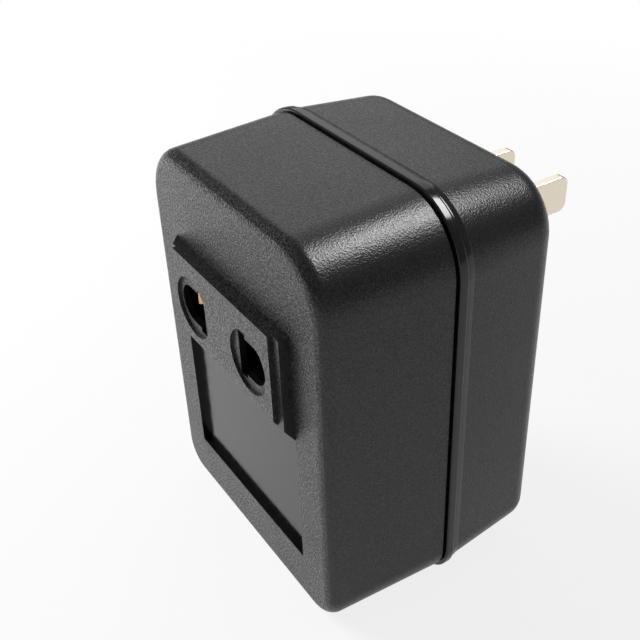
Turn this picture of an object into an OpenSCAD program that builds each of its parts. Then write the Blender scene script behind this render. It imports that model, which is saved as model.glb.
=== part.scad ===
// Plug-in travel voltage converter: a two-part case round a small autotransformer,
// with two flat plug blades behind and a two-hole socket in front.
// The origin is the middle of the rear face, which lies against the wall outlet.
// +Y points into the wall, +Z is up, and the sockets face -Y.

/* [Case] */
// Width of the case at the parting line
case_w = 51; // [48:0.5:60]
// Height of the case at the parting line
case_h = 68; // [65:0.5:80]
// Depth of the rear shell
rear_d = 18.2; // [15.5:0.1:22]
// Depth of the front shell, without the socket boss
front_d = 22.9; // [21.5:0.1:28]
// Wall thickness of both shells
wall = 2; // [1.6:0.1:2.4]
// Radius of the two upper long edges at the parting line
corner_r = 10.7; // [9.5:0.1:11.5]
// Radius of the two lower long edges at the parting line
lower_r = 6.5; // [6:0.1:9]
// How far the front shell tapers in on each side
front_draft = 0.8; // [0.4:0.1:1.5]
// How far the rear shell tapers in on each side
rear_draft = 1.4; // [0.4:0.1:2]
// Rounding round the front face
front_edge_r = 2.3; // [1.5:0.1:4]
// Rounding round the rear face
rear_edge_r = 4; // [2:0.1:4.5]

/* [Seam] */
// Width of the bead on the front shell's rim
band_w = 1.5; // [1:0.1:2.5]
// How far the bead stands out of the shell
band_rise = 0.5; // [0.2:0.1:0.8]
// Width of the groove in front of the bead
groove_w = 0.4; // [0.2:0.1:0.8]
// Depth of that groove
groove_deep = 0.4; // [0.2:0.1:0.6]
// Width of the smooth rim on the rear shell
rim_w = 1.3; // [0.8:0.1:2.5]
// How far that rim stands out of the shell
rim_rise = 0.2; // [0.1:0.1:0.4]
// Thickness of the tongue that centres the two shells
tongue_t = 0.8; // [0.6:0.1:1]
// How far the tongue reaches into the front shell
tongue_len = 1.6; // [1:0.1:2.5]
// Clearance round the tongue and the hooks
seam_gap = 0.1; // [0.05:0.05:0.2]
// Width of each hook at the bottom of the rear shell
hook_w = 5; // [3:0.5:7]
// Reach of each hook past the parting line
hook_len = 5; // [4:0.5:7]
// Thickness of each hook
hook_t = 1.1; // [0.8:0.1:1.3]
// Distance of each hook from the middle of the case
hook_x = 6.5; // [5:0.5:8]

/* [Socket boss] */
// Width of the boss and of the label recess under it
boss_w = 33.6; // [33:0.1:38]
// Height of the boss over the front face
boss_h = 2.4; // [2:0.05:3]
// Height of the boss's face above the sockets' axis
boss_up = 8.3; // [7:0.1:9]
// Height of the boss's face below the sockets' axis
boss_down = 6.5; // [6:0.1:8]
// How far the sloped foot runs on below the boss's face
boss_foot = 3.4; // [2:0.1:4]
// How far the left flank slopes in
boss_flank = 2.1; // [1:0.1:2.5]
// Width of the ledge on the boss's left
ledge_left = 1; // [0.5:0.1:1.4]
// Width of the ledge on the boss's right
ledge_right = 1.8; // [1:0.1:2.2]
// How far the ledges lie under the boss's face
ledge_drop = 0.65; // [0.3:0.05:0.8]
// Thickness of the boss's front wall
boss_wall = 1.6; // [1.3:0.1:2]
// Thickness of the boss's side walls
boss_side = 1.5; // [1.2:0.1:2]

/* [Label recess] */
// Depth of the label recess
recess_deep = 1.0; // [0.8:0.1:2]
// Height of its lower edge above the bottom of the case
recess_rise = 10.8; // [10:0.1:16]
// How far the recess lies inside the boss's sides
recess_in = 0.1; // [0.1:0.1:0.5]
// Wall thickness behind the label recess
recess_wall = 1.5; // [1.2:0.1:2]

/* [Sockets] */
// Height of the sockets' axis above the bottom of the case
socket_rise = 44.6; // [43.5:0.1:47]
// Distance between the two round countersinks
socket_pitch = 17.1; // [16.5:0.1:18]
// Radius of each countersink
socket_r = 5.1; // [4.6:0.05:5.4]
// Depth of each countersink
socket_deep = 0.5; // [0.3:0.05:0.8]
// Distance between flat blades that the sockets take
slot_pitch = 12.7; // [12.5:0.1:13]
// Width of the flat side of an opening
slot_w = 1.9; // [1.7:0.1:2.2]
// Height of the flat side of an opening
slot_h = 7.8; // [6.8:0.1:8]
// Distance between round pins that the sockets take
pin_pitch = 19; // [18.5:0.1:19.4]
// Radius of the round side of an opening
pin_r = 3.2; // [2.6:0.1:3.4]

/* [Contacts] */
// Thickness of a contact plate
contact_t = 0.7; // [0.5:0.1:0.9]
// Height of a contact plate
contact_h = 6.4; // [5:0.1:7]
// Length of the solder tail behind the contact block
contact_tail = 3; // [2:0.1:4]
// Height of the solder tail
tail_h = 3; // [2:0.1:4]
// Radius of the fold that carries the leaf
fold_r = 0.65; // [0.5:0.05:0.8]
// Running clearance between the fold and the leaf's curl
curl_gap = 0.05; // [0.03:0.01:0.1]
// Thickness of a spring leaf
leaf_t = 0.5; // [0.3:0.05:0.6]
// Height of a spring leaf
leaf_h = 5.6; // [4:0.1:6]
// Height of the leaf's narrow tip
leaf_tip_h = 2; // [1.4:0.1:3]
// Distance of the leaf's fold from the contact plate
fold_out = 3; // [2.5:0.1:3.5]
// Gap between the plate and the leaf's crest at rest
leaf_rest = 0.9; // [0.6:0.1:1.2]
// Length from the fold to the leaf's crest
leaf_crest = 8.8; // [8:0.1:9.5]
// Length from the fold to the leaf's tip
leaf_len = 14; // [13:0.1:14.4]
// How far the leaf's tip flares out past its fold
leaf_flare = 2.2; // [1.5:0.1:2.5]
// Greatest opening of the leaf, in degrees
leaf_swing = 17; // [5:1:18]
// Height of the contact block
block_h = 11; // [10.5:0.1:12]
// Depth of the contact block
block_d = 15; // [14.6:0.1:17]
// Wall at the back and the sides of the contact block
block_wall = 1.8; // [1.4:0.1:2.2]
// Clearance round the contacts in the block
contact_gap = 0.3; // [0.2:0.05:0.4]

/* [Plug] */
// Distance between the two plug blades
blade_pitch = 12.7; // [12.5:0.1:13]
// Width of a plug blade
blade_w = 6.35; // [6:0.05:6.6]
// Thickness of a plug blade
blade_t = 1.5; // [1.4:0.05:1.7]
// Length of a blade outside the case
blade_len = 18.5; // [15:0.5:20]
// Radius of the blade's tip corners
blade_tip_r = 1.5; // [0.5:0.1:2]
// Depth of the blades' middle under the top of the case
blade_drop = 16.3; // [14:0.1:17]
// Clearance of a blade in its slot
blade_gap = 0.1; // [0.05:0.05:0.2]
// Thickness of the pad that the blades sit on
pad_t = 2; // [1.5:0.1:3]
// Width and height of that pad past the blades
pad_edge = 2.6; // [2:0.1:3]
// Depth of the blade's shoulder
shoulder_d = 1.5; // [1:0.1:2]
// How far the shoulder stands past the blade's edges
shoulder_out = 1.2; // [0.8:0.1:1.6]
// Length of the blade's tail behind the clamp
blade_tail = 4; // [3:0.1:5]
// Width of the blade's tail
blade_tail_w = 4; // [3:0.1:5]
// Thickness of the clamp plate
clamp_t = 2.5; // [2:0.1:3]

/* [Transformer] */
// Half the width of the core's middle limb
limb = 6.2; // [6:0.1:6.7]
// Thickness of the lamination stack
stack = 18; // [14:0.5:18.5]
// Height of the ribs that carry the core
core_lift = 2.2; // [1.8:0.1:2.6]
// Room behind the lamination stack
core_back = 8; // [7.5:0.1:8.5]
// Thickness of the pads in front of the core
core_pad_t = 1; // [0.6:0.1:1.5]
// Width of those pads
core_pad_w = 3.2; // [2:0.1:5]
// Thickness of the ribs that hold the core
rib_t = 2; // [1.2:0.1:2.5]
// Clearance of the core in its ribs and in the bobbin
core_gap = 0.1; // [0.05:0.05:0.2]
// Wall of the bobbin
bobbin_wall = 1; // [0.7:0.1:1.2]
// Depth of the winding
winding_t = 4.4; // [3.5:0.1:4.6]
// Thickness of the tape over the winding
tape_t = 0.3; // [0.2:0.05:0.4]
// Height of the terminal rail
rail_h = 4; // [3:0.1:5]
// Depth of the terminal rail
rail_d = 4.4; // [3.5:0.1:5]
// Number of terminal pins
pin_count = 5; // [5:1:5]
// Distance between the terminal pins
pin_step = 5; // [4:0.1:5.5]
// Radius of a terminal pin
terminal_r = 0.4; // [0.3:0.05:0.5]
// Length of a terminal pin
terminal_len = 5.5; // [5:0.1:7]
// How deep a terminal pin sits in the rail
terminal_deep = 3; // [2:0.1:3.5]
// Radius of the thermal fuse
fuse_r = 2; // [1.5:0.1:2.1]
// Length of the thermal fuse's body
fuse_len = 12; // [9:0.5:14]
// Length of each wire end of the fuse
fuse_end = 4; // [2:0.5:5]
// Diameter of the insulated leads
lead_d = 1.4; // [1:0.1:1.5]

/* [Screws] */
// Radius of the screws' shanks
screw_r = 1.4; // [1.2:0.05:1.5]
// Radius of the screws' heads
head_r = 2.7; // [2.4:0.1:3]
// Height of the screws' heads
head_h = 1.8; // [1.4:0.1:2.2]
// Width of the cross slot in the heads
cross_w = 0.8; // [0.6:0.1:1]
// Clearance round a shank and a head
screw_gap = 0.2; // [0.1:0.05:0.3]
// Clearance of a shank in its post
thread_gap = 0.05; // [0.03:0.01:0.1]
// How far the case screws lie outside the centres of the rounded corners
screw_out = 1; // [0:0.1:1]
// Depth of a case screw's seat under the rear face
case_seat = 6; // [4:0.5:8]
// Length of a case screw under its head
case_screw_len = 20; // [16:0.5:24]
// Length of the clamp screw under its head
clamp_screw_len = 6.4; // [5.5:0.1:7]
// Length of the block screw under its head
block_screw_len = 13; // [11:0.5:14]
// Wall of the posts that the screws go into
post_wall = 1.3; // [1:0.1:1.6]
// How far the block screw reaches into its post
block_bite = 6; // [4:0.5:7]
// Room left past the tip of a screw
pilot_extra = 0.5; // [0.3:0.1:0.8]

/* [Hidden] */
$fn = 48;
hull_fn = 32;
eps = 0.01;

// Planes of the case
seam_y = -rear_d;
face_y = -rear_d - front_d;
boss_y = face_y - boss_h;
inner_y = face_y + wall;
bottom_z = -case_h / 2;
floor_z = bottom_z + wall;
hook_z = floor_z + seam_gap + front_draft * hook_len / (front_d - wall);
hook_low = floor_z - wall / 2;
hook_top = hook_z + hook_t;

// Places of the plug and the sockets
blade_z = case_h / 2 - blade_drop;
socket_z = bottom_z + socket_rise;
boss_top = socket_z + boss_up;
boss_low = socket_z - boss_down;
foot_z = boss_low - boss_foot;
recess_y = face_y + recess_deep;
recess_z = bottom_z + recess_rise;
pocket_y = boss_y + boss_wall;
pocket_x = boss_w / 2 - boss_side;

// Screw posts stand in the upper corners of the case
corner_x = case_w / 2 - corner_r;
corner_z = case_h / 2 - corner_r;
screw_x = corner_x + screw_out;
screw_z = corner_z + screw_out;
post_r = screw_r + thread_gap + post_wall;
well_r = head_r + screw_gap;
case_tip_y = -case_seat - case_screw_len;

// Plug
pad_y = -wall - pad_t;
shoulder_y = pad_y - shoulder_d;
clamp_y = shoulder_y - clamp_t;
blade_end_y = clamp_y - blade_tail;
pad_x = blade_pitch / 2 + blade_t / 2 + pad_edge;
pad_z = blade_w / 2 + shoulder_out + pad_edge / 2;

// Contacts
plate_x = slot_pitch / 2 - slot_w / 2;
block_y = inner_y + block_d;
block_in_y = block_y - block_wall;
cavity_x = plate_x - contact_t;
cavity_h = contact_h + 2 * contact_gap;
curl_r = fold_r + curl_gap + leaf_t;
fold_x = plate_x + fold_out;
fold_y = block_in_y - contact_gap - curl_r;
plate_y = inner_y + contact_gap;
contact_end_y = block_y + contact_tail;
tail_x = plate_x - contact_t / 2;
block_seat_y = block_y - head_h - contact_gap;
block_tip_y = block_seat_y - block_screw_len;
block_post_y = block_tip_y + block_bite;

// Transformer: the limb sets every size of the E and I shapes
core_w = 6 * limb;
window_h = 3 * limb;
core_z = floor_z + core_lift;
window_z = core_z + limb;
i_z = window_z + window_h;
core_back_y = -wall - core_back;
core_front_y = core_back_y - stack;
core_y = core_back_y - stack / 2;
tube_x = limb + core_gap;
tube_y = stack / 2 + core_gap;
flange_x = 2 * limb - core_gap;
flange_y = stack / 2 + limb - core_gap;
flange_top = i_z - core_gap;
flange_low = window_z + core_gap;
rail_y = core_back_y + core_gap + rail_d / 2;
rib_x = 2.5 * limb;
terminal_top = flange_top + rail_h - terminal_deep + terminal_len;
fuse_y = core_front_y - limb / 2;
fuse_z = flange_top + fuse_r;
fuse_x = fuse_len / 2 + fuse_end;

// Routes of the leads between their two ends, which leave each terminal squarely
core_top = i_z + limb;
line_route = [
    [blade_pitch / 2, blade_end_y, blade_z], [blade_pitch / 2, blade_end_y - 2.5, blade_z],
    [10, block_y + 3.9, blade_z - 3.6], [13, block_y + 2.9, socket_z - 3.2],
    [13.5, block_y - 0.6, core_top + 2], [14, block_y - 5.6, core_top + 1.8],
    [15.5, fuse_y + 0.8, core_top - 0.7], [fuse_x + 3, fuse_y, fuse_z], [fuse_x, fuse_y, fuse_z]
];
fuse_route = [
    [-fuse_x, fuse_y, fuse_z], [-fuse_x - 3, fuse_y, fuse_z], [-15.5, fuse_y + 0.8, core_top - 0.7],
    [-14, block_y - 5.6, core_top + 1.8], [-13, block_y + 1.4, core_top + 2],
    [-11.5, rail_y - 5, terminal_top + 2.2], [-2 * pin_step, rail_y, terminal_top + 2],
    [-2 * pin_step, rail_y, terminal_top]
];
neutral_route = [
    [-blade_pitch / 2, blade_end_y, blade_z], [-blade_pitch / 2, blade_end_y - 2.5, blade_z],
    [-blade_pitch / 2, blade_end_y - 3.5, blade_z - 3.6], [-5.6, blade_end_y - 1, socket_z - 3.2],
    [-pin_step, rail_y, terminal_top + 2], [-pin_step, rail_y, terminal_top]
];
common_route = [
    [-tail_x, contact_end_y, socket_z], [-tail_x, contact_end_y + 2, socket_z],
    [-3, contact_end_y + 5, socket_z - 3.2], [0, rail_y, terminal_top + 2], [0, rail_y, terminal_top]
];
tap_route = [
    [tail_x, contact_end_y, socket_z], [tail_x, contact_end_y + 2, socket_z],
    [pin_step, contact_end_y + 5, socket_z - 3.2], [pin_step, rail_y, terminal_top + 2],
    [pin_step, rail_y, terminal_top]
];
lead_sides = 8;
lead_steps = 5;

function unit(v) = v / norm(v);
function at(list, i) = list[max(0, min(len(list) - 1, i))];

// A smooth curve through the points of a route
function curve(p, q, r, s, t) = 0.5 * (
    2 * q + (r - p) * t + (2 * p - 5 * q + 4 * r - s) * t * t + (3 * q - p - 3 * r + s) * t * t * t
);
function smooth(route) = [
    for (i = [0 : len(route) - 2], k = [0 : lead_steps - 1])
        curve(at(route, i - 1), route[i], route[i + 1], at(route, i + 2), k / lead_steps),
    route[len(route) - 1]
];
function heading(line, i) = unit(at(line, i + 1) - at(line, i - 1));

// Headings of a lead's rings, square to the route at both ends
function headings(route, line) = [
    for (i = [0 : len(line) - 1])
        i == 0 ? unit(route[1] - route[0])
        : i == len(line) - 1 ? unit(route[len(route) - 1] - route[len(route) - 2])
        : heading(line, i)
];

// Side directions that turn as little as they can along the lead
function square_to(v, t) = unit(v - (v * t) * t);
function sides(ways) = [
    for (i = 0, n = square_to([1, 0.3, 0.2], ways[0]); i < len(ways);
         i = i + 1, n = square_to(n, at(ways, i))) n
];

// Outline of a bent strip of even thickness along a line of points
function strip_side(line, t, side) = [
    for (i = [0 : len(line) - 1])
        let (d = heading(line, i)) line[i] + side * t / 2 * [-d[1], d[0]]
];
function flip(list) = [for (i = [len(list) - 1 : -1 : 0]) list[i]];
function strip(line, t) = concat(strip_side(line, t, 1), flip(strip_side(line, t, -1)));

module tube(route, d) {
    line = smooth(route);
    ways = headings(route, line);
    across = sides(ways);
    rings = len(line);
    points = [
        for (i = [0 : rings - 1], k = [0 : lead_sides - 1])
            let (a = 360 * k / lead_sides, n = across[i], b = cross(ways[i], n))
                line[i] + d / 2 * (cos(a) * n + sin(a) * b)
    ];
    walls = [
        for (i = [0 : rings - 2], k = [0 : lead_sides - 1], half = [0, 1])
            let (
                a = i * lead_sides + k,
                b = i * lead_sides + (k + 1) % lead_sides,
                c = b + lead_sides,
                e = a + lead_sides
            ) half == 0 ? [a, e, c] : [a, c, b]
    ];
    first = [for (k = [0 : lead_sides - 1]) k];
    last = [for (k = [lead_sides - 1 : -1 : 0]) (rings - 1) * lead_sides + k];
    polyhedron(points, concat([first], walls, [last]));
}

module rounded_rect(w, h, r) {
    square([w - 2 * r, h], center = true);
    square([w, h - 2 * r], center = true);
    for (sx = [-1, 1], sz = [-1, 1])
        translate([sx * (w / 2 - r), sz * (h / 2 - r)])
            circle(r);
}

// A flat outline in X and Z, drawn out from y0 to y1
module across_y(y0, y1) {
    translate([0, y1, 0])
        rotate([90, 0, 0])
            linear_extrude(y1 - y0)
                children();
}

// A box between two corners
module between(low, high) {
    translate(low)
        cube(high - low);
}

// A round rod along Y from y0 to y1
module rod(x, y0, y1, z, r) {
    translate([x, y1, z])
        rotate([90, 0, 0])
            cylinder(y1 - y0, r, r);
}

// Radius of an upper (1) or a lower (-1) long edge at the parting line
function long_r(sz) = sz > 0 ? corner_r : lower_r;

// Section of the case at the parting line, moved in by a given amount
module seam_section(inset) {
    half_w = case_w / 2 - inset;
    half_h = case_h / 2 - inset;
    up = corner_r - inset;
    low = lower_r - inset;
    translate([-half_w, low - half_h])
        square([2 * half_w, 2 * half_h - up - low]);
    translate([up - half_w, 0])
        square([2 * (half_w - up), half_h]);
    translate([low - half_w, -half_h])
        square([2 * (half_w - low), half_h]);
    for (sx = [-1, 1], sz = [-1, 1])
        translate([sx * (case_w / 2 - long_r(sz)), sz * (case_h / 2 - long_r(sz))])
            circle(long_r(sz) - inset);
}

// Section of the rounding at a shell's end, from the axis of a long edge outwards
module end_round(out, edge_r) {
    intersection() {
        translate([out, 0])
            circle(edge_r, $fn = hull_fn);
        translate([0, -edge_r])
            square([out + edge_r, 2 * edge_r]);
    }
}

// Drafted box half with a rounded end, standing on the parting plane
module half_body(depth, draft, edge_r) {
    hull() {
        for (sx = [-1, 1], sz = [-1, 1])
            translate([sx * (case_w / 2 - long_r(sz)), sz * (case_h / 2 - long_r(sz)), 0]) {
                cylinder(eps, long_r(sz), long_r(sz), $fn = hull_fn);
                translate([0, 0, depth - edge_r])
                    rotate_extrude($fn = hull_fn)
                        end_round(long_r(sz) - draft - edge_r, edge_r);
            }
    }
}

// Space inside a box half
module half_cavity(depth, draft) {
    hull() {
        for (sx = [-1, 1], sz = [-1, 1])
            translate([sx * (case_w / 2 - long_r(sz)), sz * (case_h / 2 - long_r(sz)), -eps])
                cylinder(depth - wall + eps, long_r(sz) - wall, long_r(sz) - wall - draft, $fn = hull_fn);
    }
}

module rear_place() {
    translate([0, seam_y, 0])
        mirror([0, 1, 0])
            rotate([90, 0, 0])
                children();
}

module front_place() {
    translate([0, seam_y, 0])
        rotate([90, 0, 0])
            children();
}

// A screw with its head's seat at the origin and its shank along +Z
module screw(length) {
    difference() {
        union() {
            cylinder(length, screw_r, screw_r);
            translate([0, 0, -head_h / 2])
                cylinder(head_h / 2, head_r, head_r);
            translate([0, 0, -head_h])
                cylinder(head_h / 2, head_r - head_h / 2, head_r);
        }
        for (turn = [0, 90])
            rotate([0, 0, turn])
                translate([-head_r / 2, -cross_w / 2, -head_h - eps])
                    cube([head_r, cross_w, head_h / 2]);
    }
}

// Opening of one socket: a flat side for a blade and a round side for a pin
module opening() {
    translate([plate_x, -slot_h / 2])
        square([slot_w, slot_h]);
    translate([plate_x, -pin_r])
        square([pin_pitch / 2 - plate_x, 2 * pin_r]);
    translate([pin_pitch / 2, 0])
        circle(pin_r);
}

function flank_at(y) = -boss_w / 2 + (face_y - y) * boss_flank / (boss_h - ledge_drop);

// The boss seen from above: sloped left flank, ledges and the raised face
module boss_plan() {
    root_y = face_y + wall / 2;
    ledge_y = boss_y + ledge_drop;
    left = flank_at(ledge_y);
    right = boss_w / 2;
    polygon([
        [flank_at(root_y), root_y], [left, ledge_y], [left + ledge_left, ledge_y], [left + ledge_left, boss_y],
        [right - ledge_right, boss_y], [right - ledge_right, ledge_y], [right, ledge_y], [right, root_y]
    ]);
}

function foot_at(y) = foot_z + (face_y - y) * boss_foot / boss_h;

// An outline in Y and Z, drawn out along X to a given width
module across_x(width) {
    translate([-width / 2, 0, 0])
        rotate([90, 0, 90])
            linear_extrude(width)
                children();
}

module boss() {
    intersection() {
        translate([0, 0, foot_at(inner_y)])
            linear_extrude(boss_top - foot_at(inner_y))
                boss_plan();
        across_x(case_w)
            polygon([
                [inner_y, boss_top + eps], [boss_y - eps, boss_top + eps],
                [boss_y - eps, foot_at(boss_y - eps)], [inner_y, foot_at(inner_y)]
            ]);
    }
}

module label_recess() {
    across_x(boss_w - 2 * recess_in)
        polygon([
            [face_y - boss_h, recess_z], [recess_y, recess_z],
            [recess_y, foot_at(recess_y)], [face_y - boss_h, foot_at(face_y - boss_h)]
        ]);
}

// Ribs in one shell that carry the core from below, from the sides and along Y
module core_ribs(y0, y1) {
    side_x = core_w / 2 + core_gap;
    for (side = [-1, 1]) {
        translate([side * 2 * limb - rib_t / 2, y0, bottom_z])
            cube([rib_t, y1 - y0, core_z - bottom_z]);
        for (z = [window_z, i_z - limb])
            translate([side > 0 ? side_x : -case_w / 2, y0, z])
                cube([case_w / 2 - side_x, y1 - y0, rib_t]);
    }
}

module end_ribs(y0, y1) {
    for (side = [-1, 1])
        translate([side * rib_x - rib_t / 2, y0, core_z + rib_t])
            cube([rib_t, y1 - y0, i_z - core_z - 2 * rib_t]);
}

// Places of the two hooks along the bottom
module at_hooks() {
    for (side = [-1, 1])
        translate([side * hook_x - hook_w / 2, 0, 0])
            children();
}

// Front half with its bead, hollowed out
module front_hollow() {
    difference() {
        union() {
            front_place()
                half_body(front_d, front_draft, front_edge_r);
            hull() {
                across_y(seam_y - band_w, seam_y)
                    seam_section(0, $fn = hull_fn);
                across_y(seam_y - band_w * 2 / 3, seam_y - band_w / 3)
                    seam_section(-band_rise, $fn = hull_fn);
            }
        }
        front_place()
            half_cavity(front_d, front_draft);
    }
}

// Ribs, posts and the label recess's back, cut off at the outside of the case
module front_ribs() {
    intersection() {
        front_place()
            half_body(front_d, front_draft, front_edge_r);
        union() {
            core_ribs(inner_y - wall / 2, seam_y - tongue_len - seam_gap);
            end_ribs(inner_y - wall / 2, core_front_y - core_pad_t);
            between(
                [-boss_w / 2 - wall, recess_y - recess_deep / 2, recess_z - wall],
                [boss_w / 2 + wall, recess_y + recess_wall, foot_z]
            );
            for (side = [-1, 1])
                rod(side * screw_x, inner_y - wall / 2, seam_y, screw_z, post_r);
        }
    }
}

module front_shell() {
    color("#1c1c1e")
    difference() {
        union() {
            difference() {
                union() {
                    front_hollow();
                    boss();
                    front_ribs();
                }
                // Hollow behind the boss, where the leaves' tips lie
                between(
                    [-pocket_x, pocket_y, socket_z - cavity_h / 2],
                    [pocket_x, inner_y + eps, socket_z + cavity_h / 2]
                );
            }
            rod(0, pocket_y - boss_wall / 2, block_post_y, socket_z, post_r);
        }
        // Rabbet that takes the rear shell's tongue
        across_y(seam_y - tongue_len - seam_gap, seam_y + eps)
            seam_section(wall - tongue_t - seam_gap);
        // Groove in front of the bead
        difference() {
            across_y(seam_y - band_w - groove_w, seam_y - band_w)
                seam_section(-band_rise);
            across_y(seam_y - band_w - groove_w - eps, seam_y - band_w + eps)
                seam_section(groove_deep);
        }
        // Pockets for the hooks
        at_hooks()
            between(
                [-seam_gap, seam_y - hook_len - seam_gap, hook_low - seam_gap],
                [hook_w + seam_gap, seam_y - hook_len + hook_t + seam_gap, hook_top]
            );
        label_recess();
        for (side = [0, 1])
            mirror([side, 0, 0]) {
                rod(socket_pitch / 2, boss_y - eps, boss_y + socket_deep, socket_z, socket_r);
                translate([0, 0, socket_z])
                    across_y(boss_y - eps, pocket_y + eps)
                        opening();
                rod(screw_x, case_tip_y - pilot_extra, seam_y + eps, screw_z, screw_r + thread_gap);
            }
        rod(0, block_tip_y - pilot_extra, block_post_y + eps, socket_z, screw_r + thread_gap);
    }
}

module rear_shell() {
    color("#1c1c1e")
    difference() {
        union() {
            difference() {
                union() {
                    rear_place()
                        half_body(rear_d, rear_draft, rear_edge_r);
                    hull() {
                        across_y(seam_y, seam_y + rim_w)
                            seam_section(rear_draft / 2, $fn = hull_fn);
                        across_y(seam_y, seam_y + rim_w / 2)
                            seam_section(-rim_rise, $fn = hull_fn);
                    }
                }
                rear_place()
                    half_cavity(rear_d, rear_draft);
            }
            // Tongue that centres the front shell
            difference() {
                across_y(seam_y - tongue_len, seam_y + wall)
                    seam_section(wall - tongue_t);
                across_y(seam_y - tongue_len - eps, seam_y + wall + eps)
                    seam_section(wall);
            }
            at_hooks() {
                between([0, seam_y - hook_len, hook_z], [hook_w, seam_y + wall, hook_top]);
                between([0, seam_y - hook_len, hook_low], [hook_w, seam_y - hook_len + hook_t, hook_top]);
                between([0, seam_y, hook_low], [hook_w, seam_y + wall, hook_top]);
            }
            intersection() {
                rear_place()
                    half_body(rear_d, rear_draft, rear_edge_r);
                union() {
                    core_ribs(seam_y, -wall / 2);
                    end_ribs(core_back_y, -wall / 2);
                    between([-pad_x, pad_y, blade_z - pad_z], [pad_x, -wall / 2, blade_z + pad_z]);
                    rod(0, shoulder_y, -wall / 2, blade_z, post_r);
                    for (side = [-1, 1])
                        rod(side * screw_x, seam_y, -wall / 2, screw_z, well_r + post_wall);
                }
            }
        }
        for (side = [-1, 1]) {
            rod(side * screw_x, -case_seat, eps, screw_z, well_r);
            rod(side * screw_x, seam_y - eps, -case_seat + eps, screw_z, screw_r + screw_gap);
            translate([side * blade_pitch / 2, 0, blade_z])
                between(
                    [-blade_t / 2 - blade_gap, pad_y - eps, -blade_w / 2 - blade_gap],
                    [blade_t / 2 + blade_gap, eps, blade_w / 2 + blade_gap]
                );
        }
        rod(0, shoulder_y - eps, clamp_y + clamp_screw_len + pilot_extra, blade_z, screw_r + thread_gap);
    }
}

module case_screws() {
    color("silver")
    for (side = [-1, 1])
        translate([side * screw_x, -case_seat, screw_z])
            rotate([90, 0, 0])
                screw(case_screw_len);
}

// Blade with a rounded tip, a shoulder inside the case and a solder tail
module blade(side) {
    translate([side * blade_pitch / 2 - blade_t / 2, 0, blade_z])
        rotate([90, 0, 90])
            linear_extrude(blade_t) {
                translate([pad_y, -blade_w / 2])
                    square([blade_len - pad_y - blade_tip_r, blade_w]);
                translate([0, -blade_w / 2 + blade_tip_r])
                    square([blade_len, blade_w - 2 * blade_tip_r]);
                for (end = [-1, 1])
                    translate([blade_len - blade_tip_r, end * (blade_w / 2 - blade_tip_r)])
                        circle(blade_tip_r);
                translate([shoulder_y, -blade_w / 2 - shoulder_out])
                    square([shoulder_d, blade_w + 2 * shoulder_out]);
                translate([blade_end_y, -blade_tail_w / 2])
                    square([-blade_end_y, blade_tail_w]);
            }
}

module left_blade() {
    color("#d8c9a0")
    blade(-1);
}

module right_blade() {
    color("#d8c9a0")
    blade(1);
}

module blade_clamp() {
    color("ivory")
    difference() {
        between([-pad_x, clamp_y, blade_z - pad_z], [pad_x, shoulder_y, blade_z + pad_z]);
        for (side = [-1, 1])
            translate([side * blade_pitch / 2, 0, blade_z])
                between(
                    [-blade_t / 2 - blade_gap, clamp_y - eps, -blade_tail_w / 2 - blade_gap],
                    [blade_t / 2 + blade_gap, shoulder_y + eps, blade_tail_w / 2 + blade_gap]
                );
        rod(0, clamp_y - eps, shoulder_y + eps, blade_z, screw_r + screw_gap);
    }
}

module clamp_screw() {
    color("silver")
    translate([0, clamp_y, blade_z])
        rotate([-90, 0, 0])
            screw(clamp_screw_len);
}

module contact_block() {
    color("ivory")
    difference() {
        between(
            [-pocket_x - block_wall, inner_y, socket_z - block_h / 2],
            [pocket_x + block_wall, block_y, socket_z + block_h / 2]
        );
        for (side = [0, 1])
            mirror([side, 0, 0]) {
                between(
                    [cavity_x, inner_y - eps, socket_z - cavity_h / 2],
                    [pocket_x, block_in_y, socket_z + cavity_h / 2]
                );
                between(
                    [cavity_x, block_in_y - eps, socket_z - tail_h / 2 - blade_gap],
                    [plate_x + blade_gap, block_y + eps, socket_z + tail_h / 2 + blade_gap]
                );
            }
        rod(0, inner_y - eps, block_post_y + contact_gap, socket_z, post_r + screw_gap);
        rod(0, block_post_y, block_y, socket_z, screw_r + screw_gap);
        // Relief where a low case brings the screw posts down to the block
        for (side = [-1, 1])
            rod(side * screw_x, inner_y - eps, block_y + eps, screw_z, post_r + screw_gap);
        rod(0, block_seat_y, block_y + eps, socket_z, well_r);
    }
}

module block_screw() {
    color("silver")
    translate([0, block_seat_y, socket_z])
        rotate([90, 0, 0])
            screw(block_screw_len);
}

// Contact plate with its tail and the tab whose rolled edge carries the leaf
module contact() {
    between([cavity_x, plate_y, socket_z - contact_h / 2], [plate_x, block_in_y, socket_z + contact_h / 2]);
    between(
        [cavity_x, block_in_y - eps, socket_z - tail_h / 2],
        [plate_x, contact_end_y, socket_z + tail_h / 2]
    );
    between(
        [cavity_x, fold_y - contact_t / 2, socket_z - contact_h / 2],
        [fold_x, fold_y + contact_t / 2, socket_z + contact_h / 2]
    );
    translate([fold_x, fold_y, socket_z - contact_h / 2])
        cylinder(contact_h, fold_r, fold_r);
}

module left_contact() {
    color("goldenrod")
    mirror([1, 0, 0])
        contact();
}

module right_contact() {
    color("goldenrod")
    contact();
}

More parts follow.
